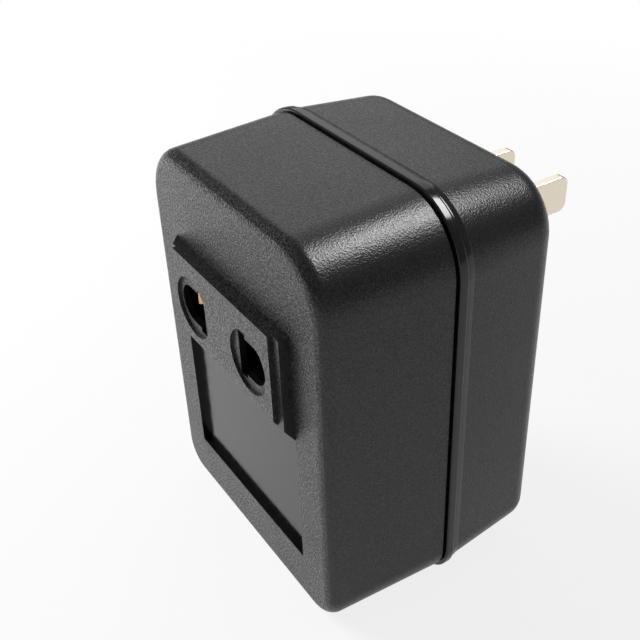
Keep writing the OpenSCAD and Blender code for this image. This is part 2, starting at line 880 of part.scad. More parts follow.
// Spring leaf: a curl round the fold, a crest that grips and a narrow flared tip
module leaf() {
    crest_x = plate_x + leaf_rest + leaf_t / 2 - fold_x;
    tip_z = (leaf_h - leaf_tip_h) / 2;
    line = [
        [curl_r - leaf_t / 2, 0], [curl_r - leaf_t / 2, -leaf_t], [0, -leaf_crest / 2],
        [crest_x, -leaf_crest], [0, -(leaf_crest + leaf_len) / 2], [leaf_flare, -leaf_len]
    ];
    free = [for (a = [180 - 3 * leaf_swing : leaf_swing : 180 + 2 * leaf_swing]) 2 * curl_r * [cos(a), sin(a)]];
    translate([fold_x, fold_y, socket_z - leaf_h / 2]) {
        difference() {
            cylinder(leaf_h, curl_r, curl_r);
            translate([0, 0, -eps])
                cylinder(leaf_h + 2 * eps, curl_r - leaf_t, curl_r - leaf_t);
            translate([0, 0, -eps])
                linear_extrude(leaf_h + 2 * eps)
                    polygon(concat([[0, 0]], free));
        }
        intersection() {
            linear_extrude(leaf_h)
                polygon(strip(line, leaf_t));
            across_x(4 * leaf_flare + 4 * curl_r)
                polygon([
                    [curl_r, -eps], [-leaf_crest, -eps], [-(leaf_crest + leaf_len) / 2, tip_z],
                    [-leaf_len - curl_r, tip_z], [-leaf_len - curl_r, leaf_h - tip_z],
                    [-(leaf_crest + leaf_len) / 2, leaf_h - tip_z], [-leaf_crest, leaf_h + eps],
                    [curl_r, leaf_h + eps]
                ]);
        }
    }
}

module left_leaf() {
    color("gold")
    mirror([1, 0, 0])
        leaf();
}

module right_leaf() {
    color("gold")
    leaf();
}

// Stacked E-shaped laminations, open end up
module e_core() {
    color("#5c5f63")
    difference() {
        between([-core_w / 2, core_front_y, core_z], [core_w / 2, core_back_y, i_z]);
        for (side = [-1, 1])
            between(
                [side * 1.5 * limb - limb / 2, core_front_y - eps, window_z],
                [side * 1.5 * limb + limb / 2, core_back_y + eps, i_z + eps]
            );
    }
}

module i_core() {
    color("#5c5f63")
    between([-core_w / 2, core_front_y, i_z], [core_w / 2, core_back_y, i_z + limb]);
}

// A rectangle in X and Y round the middle limb, drawn up from z0 to z1
module round_limb(half_x, half_y, r, z0, z1) {
    translate([0, core_y, z0])
        linear_extrude(z1 - z0)
            rounded_rect(2 * half_x, 2 * half_y, r);
}

module limb_hole() {
    between([-tube_x, core_y - tube_y, window_z], [tube_x, core_y + tube_y, i_z]);
}

module bobbin() {
    color("#e8e4d4")
    difference() {
        union() {
            round_limb(tube_x + bobbin_wall, tube_y + bobbin_wall, bobbin_wall, flange_low, flange_top);
            round_limb(flange_x, flange_y, bobbin_wall, flange_low, flange_low + bobbin_wall);
            round_limb(flange_x, flange_y, bobbin_wall, flange_top - bobbin_wall, flange_top);
            between(
                [-flange_x, rail_y - rail_d / 2, flange_top - eps],
                [flange_x, rail_y + rail_d / 2, flange_top + rail_h]
            );
        }
        limb_hole();
        for (i = [0 : pin_count - 1])
            translate([(i - (pin_count - 1) / 2) * pin_step, rail_y, flange_top + rail_h - terminal_deep])
                cylinder(terminal_deep + eps, terminal_r + eps, terminal_r + eps);
    }
}

module winding() {
    color("#b87333")
    difference() {
        round_limb(
            tube_x + bobbin_wall + winding_t, tube_y + bobbin_wall + winding_t, bobbin_wall + winding_t / 2,
            flange_low + bobbin_wall, flange_top - bobbin_wall
        );
        round_limb(tube_x + bobbin_wall, tube_y + bobbin_wall, bobbin_wall, flange_low, flange_top);
    }
}

module winding_tape() {
    inner_x = tube_x + bobbin_wall + winding_t;
    inner_y2 = tube_y + bobbin_wall + winding_t;
    inner_r = bobbin_wall + winding_t / 2;
    color("#d9b23a")
    difference() {
        round_limb(
            inner_x + tape_t, inner_y2 + tape_t, inner_r + tape_t,
            flange_low + bobbin_wall, flange_top - bobbin_wall
        );
        round_limb(inner_x, inner_y2, inner_r, flange_low, flange_top);
    }
}

module terminal_pins() {
    color("silver")
    for (i = [0 : pin_count - 1])
        translate([(i - (pin_count - 1) / 2) * pin_step, rail_y, terminal_top - terminal_len])
            cylinder(terminal_len, terminal_r, terminal_r);
}

module thermal_fuse() {
    color("#cfc8b8")
    translate([-fuse_x, fuse_y, fuse_z])
        rotate([0, 90, 0]) {
            cylinder(2 * fuse_x, lead_d / 2, lead_d / 2);
            translate([0, 0, fuse_end])
                cylinder(fuse_len, fuse_r, fuse_r);
        }
}

module lead_line() {
    color("#a02020")
    tube(line_route, lead_d);
}

module lead_fuse() {
    color("#a02020")
    tube(fuse_route, lead_d);
}

module lead_neutral() {
    color("#2040a0")
    tube(neutral_route, lead_d);
}

module lead_common() {
    color("#2040a0")
    tube(common_route, lead_d);
}

module lead_tap() {
    color("#c8c020")
    tube(tap_route, lead_d);
}

module core_pads() {
    color("#303030")
    for (side = [-1, 1])
        translate([side * rib_x - core_pad_w / 2, core_front_y - core_pad_t, core_z + rib_t])
            cube([core_pad_w, core_pad_t, i_z - core_z - 2 * rib_t]);
}

front_shell();
rear_shell();
case_screws();
left_blade();
right_blade();
blade_clamp();
clamp_screw();
contact_block();
block_screw();
left_contact();
right_contact();
left_leaf();
right_leaf();
e_core();
i_core();
bobbin();
winding();
winding_tape();
terminal_pins();
thermal_fuse();
lead_line();
lead_fuse();
lead_neutral();
lead_common();
lead_tap();
core_pads();
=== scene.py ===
# Plug-in travel voltage converter: a black two-part case round a small transformer,
# with flat plug blades behind and a two-hole socket in front.
import math

import bmesh
import bpy
from mathutils import Matrix, Vector


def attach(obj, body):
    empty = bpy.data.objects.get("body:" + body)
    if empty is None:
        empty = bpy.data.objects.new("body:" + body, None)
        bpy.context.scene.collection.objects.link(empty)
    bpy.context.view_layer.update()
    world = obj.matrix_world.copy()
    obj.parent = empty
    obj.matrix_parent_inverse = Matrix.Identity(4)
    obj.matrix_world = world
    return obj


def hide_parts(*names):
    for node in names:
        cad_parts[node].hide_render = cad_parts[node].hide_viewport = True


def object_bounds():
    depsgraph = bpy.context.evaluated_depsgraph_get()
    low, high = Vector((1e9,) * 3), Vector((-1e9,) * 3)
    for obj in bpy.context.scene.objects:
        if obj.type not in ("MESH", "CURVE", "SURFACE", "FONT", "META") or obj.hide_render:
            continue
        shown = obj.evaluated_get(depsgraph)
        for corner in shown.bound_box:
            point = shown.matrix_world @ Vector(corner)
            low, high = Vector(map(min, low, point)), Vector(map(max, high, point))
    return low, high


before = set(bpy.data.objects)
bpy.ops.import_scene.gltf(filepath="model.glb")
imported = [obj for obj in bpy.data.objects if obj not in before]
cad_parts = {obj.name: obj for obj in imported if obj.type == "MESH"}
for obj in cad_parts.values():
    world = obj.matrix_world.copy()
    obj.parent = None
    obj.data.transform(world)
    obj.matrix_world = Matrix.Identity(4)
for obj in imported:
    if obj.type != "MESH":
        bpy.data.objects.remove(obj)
cad_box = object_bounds()


# Camera
# It stands above the front right-hand edge and looks down at the case, with the
# socket face turned away to the left and the plug blades showing behind.
view_right = Vector((0.54128169, 0.84010629, -0.03515043))
view_down = Vector((0.46304813, -0.33271515, -0.82151509))
view_ahead = Vector((-0.70185508, 0.42839474, -0.56910227))
eye = Vector((0.110567, -0.093428, 0.09571))
turned = Matrix((view_right, -view_down, -view_ahead)).transposed().to_4x4()
scene = bpy.context.scene
camera = bpy.data.objects.new("camera", bpy.data.cameras.new("camera"))
camera.data.sensor_width = 36
camera.data.lens = 56.16
camera.data.clip_start = 0.005
camera.matrix_world = Matrix.Translation(eye) @ turned
scene.collection.objects.link(camera)
scene.camera = camera
scene.view_settings.view_transform = "Standard"


# Studio
# A white table in a dim room with a white backdrop: a lamp at the front left lights the table,
# a broad panel shines on the top of the case, and a smaller one picks out its edges.
tilt = math.radians(3.7)  # the case lies propped on its bead, so the table slopes under it
bead_y = -0.0188
table_half = 6
rest_z = cad_box[0][2]
bm = bmesh.new()
bmesh.ops.create_grid(bm, x_segments=1, y_segments=1, size=table_half)
bmesh.ops.rotate(bm, verts=bm.verts, cent=(0, 0, 0), matrix=Matrix.Rotation(-tilt, 3, "X"))
bmesh.ops.translate(bm, verts=bm.verts, vec=(0, 0, rest_z + math.tan(tilt) * bead_y))
table_mesh = bpy.data.meshes.new("table")
bm.to_mesh(table_mesh)
bm.free()
table = bpy.data.objects.new("table", table_mesh)
scene.collection.objects.link(table)


def new_material(name):
    """A material, its nodes and its links"""
    material = bpy.data.materials.new(name)
    material.use_nodes = True
    return material, material.node_tree.nodes, material.node_tree.links


def set_inputs(node, values):
    """The node with values for some of its inputs"""
    for name, value in values.items():
        node.inputs[name].default_value = value
    return node


def background_rays(nodes, links, straight, gloss):
    """Weight of the backdrop's white for the rays that see it: straight on, through glass or in a gloss"""
    ray = nodes.new("ShaderNodeLightPath")
    kinds = (("Is Camera Ray", straight), ("Is Transmission Ray", straight), ("Is Glossy Ray", gloss))
    total = None
    for kind, weight in kinds:
        part = set_inputs(nodes.new("ShaderNodeMath"), {2: 0})
        part.operation = "MULTIPLY_ADD"
        links.new(ray.outputs[kind], part.inputs[0])
        if isinstance(weight, bpy.types.NodeSocket):
            links.new(weight, part.inputs[1])
        else:
            part.inputs[1].default_value = weight
        if total:
            links.new(total, part.inputs[2])
        total = part.outputs[0]
    return total


# The table's own white under the lamps, lifted towards the backdrop's white where it is seen,
# and wholly so at a distance
white_table, nodes, links = new_material("white_table")
shader = set_inputs(nodes["Principled BSDF"], {
    "Base Color": (0.93, 0.93, 0.925, 1), "Roughness": 0.9, "Specular IOR Level": 0.1})
where = nodes.new("ShaderNodeTexCoord")
distance = nodes.new("ShaderNodeVectorMath")
distance.operation = "LENGTH"
fade = set_inputs(nodes.new("ShaderNodeMapRange"), {
    "From Min": 0.06, "From Max": 0.3, "To Min": 0.83, "To Max": 1})
links.new(where.outputs["Object"], distance.inputs[0])
links.new(distance.outputs["Value"], fade.inputs["Value"])
paper = nodes.new("ShaderNodeEmission")
join = nodes.new("ShaderNodeMixShader")
links.new(background_rays(nodes, links, straight=fade.outputs["Result"], gloss=0.55), join.inputs["Fac"])
links.new(shader.outputs["BSDF"], join.inputs[1])
links.new(paper.outputs["Emission"], join.inputs[2])
links.new(join.outputs["Shader"], nodes["Material Output"].inputs["Surface"])
table_mesh.materials.append(white_table)

world = bpy.data.worlds.new("studio")
scene.world = world
world.use_nodes = True
sky, links = world.node_tree.nodes, world.node_tree.links
level = set_inputs(sky.new("ShaderNodeMapRange"), {"To Min": 0.2, "To Max": 1.0})
links.new(background_rays(sky, links, straight=1, gloss=0.05), level.inputs["Value"])
links.new(level.outputs["Result"], sky["Background"].inputs["Strength"])
sky["Background"].inputs["Color"].default_value = (1, 1, 1, 1)


def softbox(name, way, distance, size, power):
    """A round lamp in a direction from the case, turned to it"""
    lamp = bpy.data.objects.new(name, bpy.data.lights.new(name, "AREA"))
    lamp.data.shape = "DISK"
    lamp.data.size = size
    lamp.data.energy = power
    lamp.location = Vector((0, -0.02, 0)) + Vector(way).normalized() * distance
    lamp.rotation_euler = Vector(way).to_track_quat("Z", "Y").to_euler()
    scene.collection.objects.link(lamp)
    return lamp


lamp_above = softbox("lamp_above", way=(0.14, 0.49, 0.86), distance=0.7, size=0.36, power=5.2)
lamp_above.visible_diffuse = False
softbox("lamp_behind", way=(-0.7, 0.43, 0.57), distance=1.0, size=0.8, power=1.3)
lamp_left = softbox("lamp_left", way=(-0.85, -0.5, 0.45), distance=0.45, size=0.25, power=2.5)
lamp_left.visible_glossy = False


# Rear shell
# The half of the case that lies against the wall: injection-moulded black plastic with a
# fine spark-eroded skin, a smooth rim at the parting line and a tongue that centres the front.
mm = 0.001  # the pieces' lengths below are in millimetres
half_w = 25.5
half_h = 34.0
upper_r = 10.7
lower_r = 6.5
seam_y = -18.2
draft = 3  # degrees that a rounding starts from, so that it runs on from the sloped wall
ring_steps = 12
textured, smooth, inside, front = range(4)  # places of the materials on a shell

# Grain of a spark-eroded mould: rounded pits of mixed size, whose colour is painted darker in the pits as
# painted shade and paler on the rims as painted light, with rims of another gloss, and a slow change in
# gloss over the surface
grain = bpy.data.node_groups.new("mould_grain", "ShaderNodeTree")
grain.interface.new_socket(name="Vector", in_out="INPUT", socket_type="NodeSocketVector")
for label in ("Coarse", "Fine", "Low", "High"):
    grain.interface.new_socket(name=label, in_out="INPUT", socket_type="NodeSocketFloat")
for label in ("Height", "Roughness", "Shade"):
    grain.interface.new_socket(name=label, in_out="OUTPUT", socket_type="NodeSocketFloat")
put_in = grain.nodes.new("NodeGroupInput")
put_out = grain.nodes.new("NodeGroupOutput")
coarse = set_inputs(grain.nodes.new("ShaderNodeTexNoise"), {"Detail": 2})
fine = grain.nodes.new("ShaderNodeTexVoronoi")
fine.feature = "SMOOTH_F1"
cloud = set_inputs(grain.nodes.new("ShaderNodeTexNoise"), {"Scale": 90, "Detail": 3})
both = grain.nodes.new("ShaderNodeMath")
both.operation = "ADD"
# painted shade and light: the grain's height sets the colour, dark in the pits and pale on the rims
rims = set_inputs(grain.nodes.new("ShaderNodeMapRange"), {"From Min": 0.7, "From Max": 1.15})
wear = grain.nodes.new("ShaderNodeMath")
wear.operation = "ADD"
gloss = set_inputs(grain.nodes.new("ShaderNodeMapRange"), {"From Min": 0.4, "From Max": 1.6})
for source, target in (
    (put_in.outputs["Vector"], coarse.inputs["Vector"]),
    (put_in.outputs["Vector"], fine.inputs["Vector"]),
    (put_in.outputs["Vector"], cloud.inputs["Vector"]),
    (put_in.outputs["Coarse"], coarse.inputs["Scale"]),
    (put_in.outputs["Fine"], fine.inputs["Scale"]),
    (coarse.outputs["Fac"], both.inputs[0]),
    (fine.outputs["Distance"], both.inputs[1]),
    (both.outputs[0], put_out.inputs["Height"]),
    (both.outputs[0], rims.inputs["Value"]),
    (rims.outputs["Result"], put_out.inputs["Shade"]),
    (cloud.outputs["Fac"], wear.inputs[0]),
    (rims.outputs["Result"], wear.inputs[1]),
    (wear.outputs[0], gloss.inputs["Value"]),
    (put_in.outputs["Low"], gloss.inputs["To Min"]),
    (put_in.outputs["High"], gloss.inputs["To Max"]),
    (gloss.outputs["Result"], put_out.inputs["Roughness"]),
):
    grain.links.new(source, target)


def grey(shade):
    return (shade, shade, shade, 1)


def shade_between(nodes, dark, light):
    """A mix of two colours"""
    tint = nodes.new("ShaderNodeMix")
    tint.data_type = "RGBA"
    return set_inputs(tint, {"A": dark, "B": light})


def moulded(name, dark, light, scales, rough, depth, shine):
    """Moulded plastic with its grain, painted from a dark shade of one colour in the pits, as painted shade,
    to a light one on the rims

    scales are those of the coarse and the fine grain, rough is the roughness of the pits and of
    their rims, and depth is the grain's height in metres.
    """
    material, nodes, links = new_material(name)
    shader = set_inputs(nodes["Principled BSDF"], {"Specular IOR Level": shine})
    where = nodes.new("ShaderNodeTexCoord")
    skin = nodes.new("ShaderNodeGroup")
    skin.node_tree = grain
    set_inputs(skin, {"Coarse": scales[0], "Fine": scales[1], "Low": rough[0], "High": rough[1]})
    tint = shade_between(nodes, dark, light)
    bump = set_inputs(nodes.new("ShaderNodeBump"), {"Distance": depth})
    links.new(where.outputs["Object"], skin.inputs["Vector"])
    # painted shade in the pits and painted light on the rims, from the grain's height
    links.new(skin.outputs["Shade"], tint.inputs["Factor"])
    links.new(tint.outputs["Result"], shader.inputs["Base Color"])
    links.new(skin.outputs["Roughness"], shader.inputs["Roughness"])
    links.new(skin.outputs["Height"], bump.inputs["Height"])
    links.new(bump.outputs["Normal"], shader.inputs["Normal"])
    return material


case_textured = moulded(
    "case_textured", grey(0.0005), grey(0.042),
    scales=(2900, 4300), rough=(0.36, 0.24), depth=0.00003, shine=0.42)
case_smooth = moulded(
    "case_smooth", grey(0.004), grey(0.007),
    scales=(500, 900), rough=(0.12, 0.18), depth=0.000004, shine=0.5)
case_inside = moulded(
    "case_inside", grey(0.003), grey(0.006),
    scales=(700, 1300), rough=(0.5, 0.6), depth=0.00001, shine=0.2)


def first_ring(bm, y, inset):
    """A rectangle of edges with rounded corners

    Each vertex keeps its corner's centre and radius and its direction from there.
    """
    centre = bm.verts.layers.float_vector.new("centre")
    away = bm.verts.layers.float_vector.new("away")
    radius = bm.verts.layers.float.new("radius")
    per_corner = ring_steps + 1
    made = bmesh.ops.create_circle(bm, cap_ends=False, segments=4 * per_corner, radius=1)
    for i, vert in enumerate(made["verts"]):
        corner, step = divmod(i, per_corner)
        turn = math.radians(90) * (corner + step / ring_steps)
        middle = math.radians(90) * (corner + 0.5)
        vert[radius] = (upper_r if math.sin(middle) > 0 else lower_r) * mm
        vert[away] = (math.cos(turn), 0, math.sin(turn))
        vert[centre] = (
            math.copysign(half_w * mm - vert[radius], math.cos(middle)), 0,
            math.copysign(half_h * mm - vert[radius], math.sin(middle)))
        vert.co = vert[centre] + (vert[radius] - inset) * vert[away] + Vector((0, y, 0))
    return list(bm.edges)


def next_ring(bm, ring, y, inset):
    """The ring drawn on to another depth and another inset"""
    layers = bm.verts.layers
    centre, away = layers.float_vector["centre"], layers.float_vector["away"]
    radius = layers.float["radius"]
    drawn = bmesh.ops.extrude_edge_only(bm, edges=ring)["geom"]
    for vert in (part for part in drawn if isinstance(part, bmesh.types.BMVert)):
        vert.co = vert[centre] + (vert[radius] - inset) * vert[away] + Vector((0, y, 0))
    return [part for part in drawn if isinstance(part, bmesh.types.BMEdge) and len(part.link_faces) == 1]


def shell_half(direction, stations, skin_from, skin_to):
    """Half of the case drawn through its stations

    A station is a depth from the parting line and an inset from the outline there. The textured
    skin starts at the depth skin_from, and past skin_to every face lies outside.
    """
    bm = bmesh.new()
    depth, inset = stations[0]
    ring = first_ring(bm, seam_y * mm + direction * depth * mm, inset * mm)
    bmesh.ops.contextual_create(bm, geom=ring)
    for depth, inset in stations[1:]:
        ring = next_ring(bm, ring, seam_y * mm + direction * depth * mm, inset * mm)
    bmesh.ops.contextual_create(bm, geom=ring)
    bmesh.ops.recalc_face_normals(bm, faces=bm.faces)
    for face in bm.faces:
        out = face.calc_center_median()
        depth = (out.y - seam_y * mm) * direction / mm
        outside = depth > skin_to or face.normal.dot(Vector((out.x, 0, out.z))) > 0
        face.material_index = inside if not outside else textured if depth > skin_from else smooth
    return bm


def end_round(depth, inset, size, steps=8):
    """Stations of the rounding at a shell's end"""
    turns = [math.radians(draft + (90 - draft) * i / steps) for i in range(steps + 1)]
    return [(depth - size + size * math.sin(a), inset + size - size * math.cos(a)) for a in turns]


def new_piece(name, bm, *materials):
    """An object with the mesh of bm"""
    mesh = bpy.data.meshes.new(name)
    bmesh.ops.recalc_face_normals(bm, faces=bm.faces)
    bm.to_mesh(mesh)
    bm.free()
    piece = bpy.data.objects.new(name, mesh)
    scene.collection.objects.link(piece)
    for material in materials:
        mesh.materials.append(material)
    return piece


def carve(piece, operation, *tools):
    """Joins tools to a piece or cuts them out of it"""
    for bm in tools:
        tool = new_piece("tool", bm, *piece.data.materials)
        step = piece.modifiers.new("carve", "BOOLEAN")
        step.operation = operation
        step.solver = "EXACT"
        step.object = tool
        with bpy.context.temp_override(object=piece, active_object=piece, selected_objects=[piece]):
            bpy.ops.object.modifier_apply(modifier=step.name)
        bpy.data.objects.remove(tool)


def with_skin(bm, skin):
    """bm with one material on all its faces"""
    for face in bm.faces:
        face.material_index = skin
    return bm


def block(low, high):
    """A box between two corners"""
    bm = bmesh.new()
    bmesh.ops.create_cube(bm, size=1)
    size = [(b - a) * mm for a, b in zip(low, high)]
    middle = [(a + b) / 2 * mm for a, b in zip(low, high)]
    bmesh.ops.scale(bm, verts=bm.verts, vec=size)
    bmesh.ops.translate(bm, verts=bm.verts, vec=middle)
    return with_skin(bm, inside)


def rod(x, z, y0, y1, radius, skin=inside, segments=48):
    """A round bar along Y"""
    bm = bmesh.new()
    bmesh.ops.create_cone(
        bm, cap_ends=True, segments=segments, radius1=radius * mm, radius2=radius * mm, depth=(y1 - y0) * mm)
    along_y = Matrix.Rotation(math.radians(-90), 3, "X")
    bmesh.ops.rotate(bm, verts=bm.verts, cent=(0, 0, 0), matrix=along_y)
    bmesh.ops.translate(bm, verts=bm.verts, vec=(x * mm, (y0 + y1) / 2 * mm, z * mm))
    return with_skin(bm, skin)


def finish_edges(piece, width):
    """Small roundings on the sharp edges and smooth shading over the curved walls"""
    sharp = math.radians(50)
    piece.data.shade_smooth()
    piece.data.set_sharp_from_angle(angle=sharp)
    edges = piece.modifiers.new("edges", "BEVEL")
    edges.width = width
    edges.segments = 2
    edges.limit_method = "ANGLE"
    edges.angle_limit = sharp
    edges.harden_normals = True
    edges.use_clamp_overlap = True
    normals = piece.modifiers.new("normals", "WEIGHTED_NORMAL")
    normals.keep_sharp = True


# From the inside of the wall over the tongue and the rim to the rounding at the rear face
rear_stations = [
    (16.2, 3.4), (0, 2), (-1.6, 2), (-1.6, 1.2), (0, 1.2),
    (0, -0.1), (0.02, -0.17), (0.08, -0.2), (0.3, -0.17), (1.1, -0.02), (1.22, 0.04), (1.3, 0.14),
    *end_round(18.2, 1.4, 4),
]
rear_half = shell_half(1, rear_stations, skin_from=1.3, skin_to=16.3)
rear_shell = new_piece("rear_shell_case", rear_half, case_textured, case_smooth, case_inside)
blade_x, blade_z = 6.35, 17.7
blade_slot_half_w, blade_slot_half_h = 0.85, 3.275
rear_wall_y = -1  # within the rear wall, so that what stands there joins it
pad_y, pad_half_w, pad_half_h = -4, 9.7, 5.67
pilot_post_r, pilot_r = 2.75, 1.45
screw_x, screw_z = 15.8, 24.3
screw_post_r, screw_head_r, screw_shank_r = 4.2, 2.9, 1.6
carve(rear_shell, "UNION", block(
    (-pad_half_w, pad_y, blade_z - pad_half_h), (pad_half_w, rear_wall_y, blade_z + pad_half_h)))
carve(rear_shell, "UNION", rod(0, blade_z, -5.5, rear_wall_y, pilot_post_r))
for side in (-1, 1):
    carve(rear_shell, "UNION", rod(side * screw_x, screw_z, seam_y, rear_wall_y, screw_post_r))
    carve(rear_shell, "DIFFERENCE", rod(side * screw_x, screw_z, -6, 1, screw_head_r))
    carve(rear_shell, "DIFFERENCE", rod(side * screw_x, screw_z, -19, -5.5, screw_shank_r))
    carve(rear_shell, "DIFFERENCE", block(
        (side * blade_x - blade_slot_half_w, -5, blade_z - blade_slot_half_h),
        (side * blade_x + blade_slot_half_w, 1, blade_z + blade_slot_half_h)))
carve(rear_shell, "DIFFERENCE", rod(0, blade_z, -6, -1.1, pilot_r))
finish_edges(rear_shell, 0.00015)
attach(rear_shell, "case")
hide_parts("rear_shell")


# Plug blades
# Flat strips of pale brass, stamped with rounded tips and slightly broken edges. Each has
# a shoulder inside the case that the clamp holds against the rear shell's pad.
blade_tip, blade_half, blade_thick = 18.5, 3.175, 1.5
shoulder_y, shoulder_end, shoulder_half = -4, -5.5, 4.375
tail_end, tail_half = -12, 2
tip_r = 1.5
touching = 1e-6  # metres between points that count as level


def metal(name, dark, light, rough, streak, along):
    """Drawn or stamped metal: streaks along the rolling direction and a slight change in shade"""
    material, nodes, links = new_material(name)
    shader = set_inputs(nodes["Principled BSDF"], {"Metallic": 1})
    where = nodes.new("ShaderNodeTexCoord")
    stretch = set_inputs(nodes.new("ShaderNodeMapping"), {"Scale": along})
    lines = set_inputs(nodes.new("ShaderNodeTexNoise"), {"Scale": streak, "Detail": 4})
    tint = shade_between(nodes, dark, light)
    polish = set_inputs(nodes.new("ShaderNodeMapRange"), {"To Min": rough[0], "To Max": rough[1]})
    bump = set_inputs(nodes.new("ShaderNodeBump"), {"Distance": 0.0000005})
    links.new(where.outputs["Object"], stretch.inputs["Vector"])
    links.new(stretch.outputs["Vector"], lines.inputs["Vector"])
    links.new(lines.outputs["Fac"], tint.inputs["Factor"])
    links.new(lines.outputs["Fac"], polish.inputs["Value"])
    links.new(lines.outputs["Fac"], bump.inputs["Height"])
    links.new(tint.outputs["Result"], shader.inputs["Base Color"])
    links.new(polish.outputs["Result"], shader.inputs["Roughness"])
    links.new(bump.outputs["Normal"], shader.inputs["Normal"])
    return material


def drawn_outline(points, way):
    """A flat outline drawn along a way, and the vertices of its far end"""
    bm = bmesh.new()
    flat = bm.faces.new([bm.verts.new([c * mm for c in point]) for point in points])
    made = bmesh.ops.extrude_face_region(bm, geom=[flat])["geom"]
    far = [part for part in made if isinstance(part, bmesh.types.BMVert)]
    bmesh.ops.translate(bm, verts=far, vec=[c * mm for c in way])
    return bm, far


blade_brass = metal(
    "blade_brass", (0.95, 0.84, 0.67, 1), (1.0, 0.92, 0.78, 1),
    rough=(0.24, 0.34), streak=900, along=(1, 0.06, 1))
blade_outline = [
    (blade_tip, -blade_half), (blade_tip, blade_half), (shoulder_y, blade_half),
    (shoulder_y, shoulder_half), (shoulder_end, shoulder_half), (shoulder_end, tail_half),
    (tail_end, tail_half), (tail_end, -tail_half), (shoulder_end, -tail_half),
    (shoulder_end, -shoulder_half), (shoulder_y, -shoulder_half), (shoulder_y, -blade_half),
]
for side, name in ((-1, "left_blade"), (1, "right_blade")):
    near_x = side * blade_x - blade_thick / 2
    bm, _ = drawn_outline([(near_x, y, blade_z + z) for y, z in blade_outline], (blade_thick, 0, 0))
    bmesh.ops.recalc_face_normals(bm, faces=bm.faces)
    tips = [
        edge for edge in bm.edges
        if all(vert.co.y > (blade_tip - 0.1) * mm for vert in edge.verts)
        and abs(edge.verts[0].co.z - edge.verts[1].co.z) < touching]
    bmesh.ops.bevel(
        bm, geom=tips, offset=tip_r * mm, segments=8, profile=0.5, affect="EDGES", material=-1)
    blade = new_piece(name + "_strip", bm, blade_brass)
    finish_edges(blade, 0.00016)
    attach(blade, "case")
    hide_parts(name)


# Blade clamp and the small screws
# A moulded phenolic plate screwed over the blades' shoulders. The screws are zinc-plated
# steel with a cross slot.
def dress(material, *names):
    """A material on CAD nodes that keep their own solids"""
    for name in names:
        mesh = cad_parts[name].data
        mesh.materials.clear()
        mesh.materials.append(material)


phenolic = moulded(
    "phenolic", (0.02, 0.016, 0.013, 1), (0.035, 0.028, 0.022, 1),
    scales=(1400, 2400), rough=(0.35, 0.5), depth=0.00001, shine=0.4)
dress(phenolic, "blade_clamp")
zinc_steel = metal(
    "zinc_steel", grey(0.5), (0.68, 0.69, 0.7, 1), rough=(0.25, 0.45), streak=1500, along=(1, 1, 1))
dress(zinc_steel, "clamp_screw", "block_screw", "case_screws")


# Transformer
# E and I laminations of silicon steel round a nylon bobbin, wound with enamelled copper wire
# under yellow polyester tape, with tinned pins in the bobbin's rail and rubber pads in front.
laminations = metal(
    "laminations", (0.1, 0.1, 0.105, 1), (0.34, 0.34, 0.35, 1),
    rough=(0.4, 0.6), streak=2200, along=(0.02, 1, 0.02))
dress(laminations, "e_core", "i_core")
nylon = moulded(
    "nylon", (0.6, 0.57, 0.48, 1), (0.72, 0.69, 0.6, 1),
    scales=(900, 2000), rough=(0.4, 0.5), depth=0.000008, shine=0.4)
dress(nylon, "bobbin")
copper = metal(
    "copper", (0.42, 0.15, 0.06, 1), (0.75, 0.36, 0.17, 1),
    rough=(0.25, 0.4), streak=2600, along=(0.02, 0.02, 1))
dress(copper, "winding")
tape = moulded(
    "tape", (0.55, 0.38, 0.04, 1), (0.68, 0.5, 0.08, 1),
    scales=(300, 900), rough=(0.2, 0.3), depth=0.000006, shine=0.5)
dress(tape, "winding_tape")
tin = metal(
    "tin", (0.6, 0.6, 0.59, 1), (0.78, 0.78, 0.77, 1),
    rough=(0.2, 0.35), streak=1800, along=(1, 1, 0.1))
dress(tin, "terminal_pins")
rubber = moulded(
    "rubber", grey(0.015), grey(0.03),
    scales=(700, 1500), rough=(0.7, 0.85), depth=0.00002, shine=0.3)
dress(rubber, "core_pads")


# Thermal fuse and leads
# A sealed fuse lies in front of the winding. The leads are stranded wire in plastic
# insulation, soldered to the blades, the contacts, the fuse and the pins.
fuse_body = moulded(
    "fuse_body", (0.5, 0.46, 0.36, 1), (0.62, 0.58, 0.48, 1),
    scales=(600, 1200), rough=(0.25, 0.35), depth=0.000006, shine=0.5)
dress(fuse_body, "thermal_fuse")
insulation = {"scales": (400, 900), "rough": (0.35, 0.5), "depth": 0.00001, "shine": 0.4}
lead_black = moulded("lead_black", grey(0.012), grey(0.025), **insulation)
dress(lead_black, "lead_line", "lead_fuse")
lead_white = moulded("lead_white", (0.66, 0.66, 0.63, 1), (0.78, 0.78, 0.75, 1), **insulation)
dress(lead_white, "lead_neutral", "lead_common")
lead_red = moulded("lead_red", (0.32, 0.02, 0.016, 1), (0.48, 0.035, 0.025, 1), **insulation)
dress(lead_red, "lead_tap")


# Socket contacts
# Stamped brass plates with a tail for the lead, and spring bronze leaves that press a plug's
# blade or pin against them. They lie in the phenolic block behind the socket holes.
contact_brass = metal(
    "contact_brass", (0.6, 0.38, 0.12, 1), (0.82, 0.6, 0.26, 1),
    rough=(0.2, 0.35), streak=1200, along=(1, 0.08, 1))
dress(contact_brass, "left_contact", "right_contact")
leaf_bronze = metal(
    "leaf_bronze", (0.62, 0.36, 0.1, 1), (0.86, 0.58, 0.22, 1),
    rough=(0.18, 0.3), streak=1200, along=(1, 0.08, 1))
dress(leaf_bronze, "left_leaf", "right_leaf")
dress(phenolic, "contact_block")


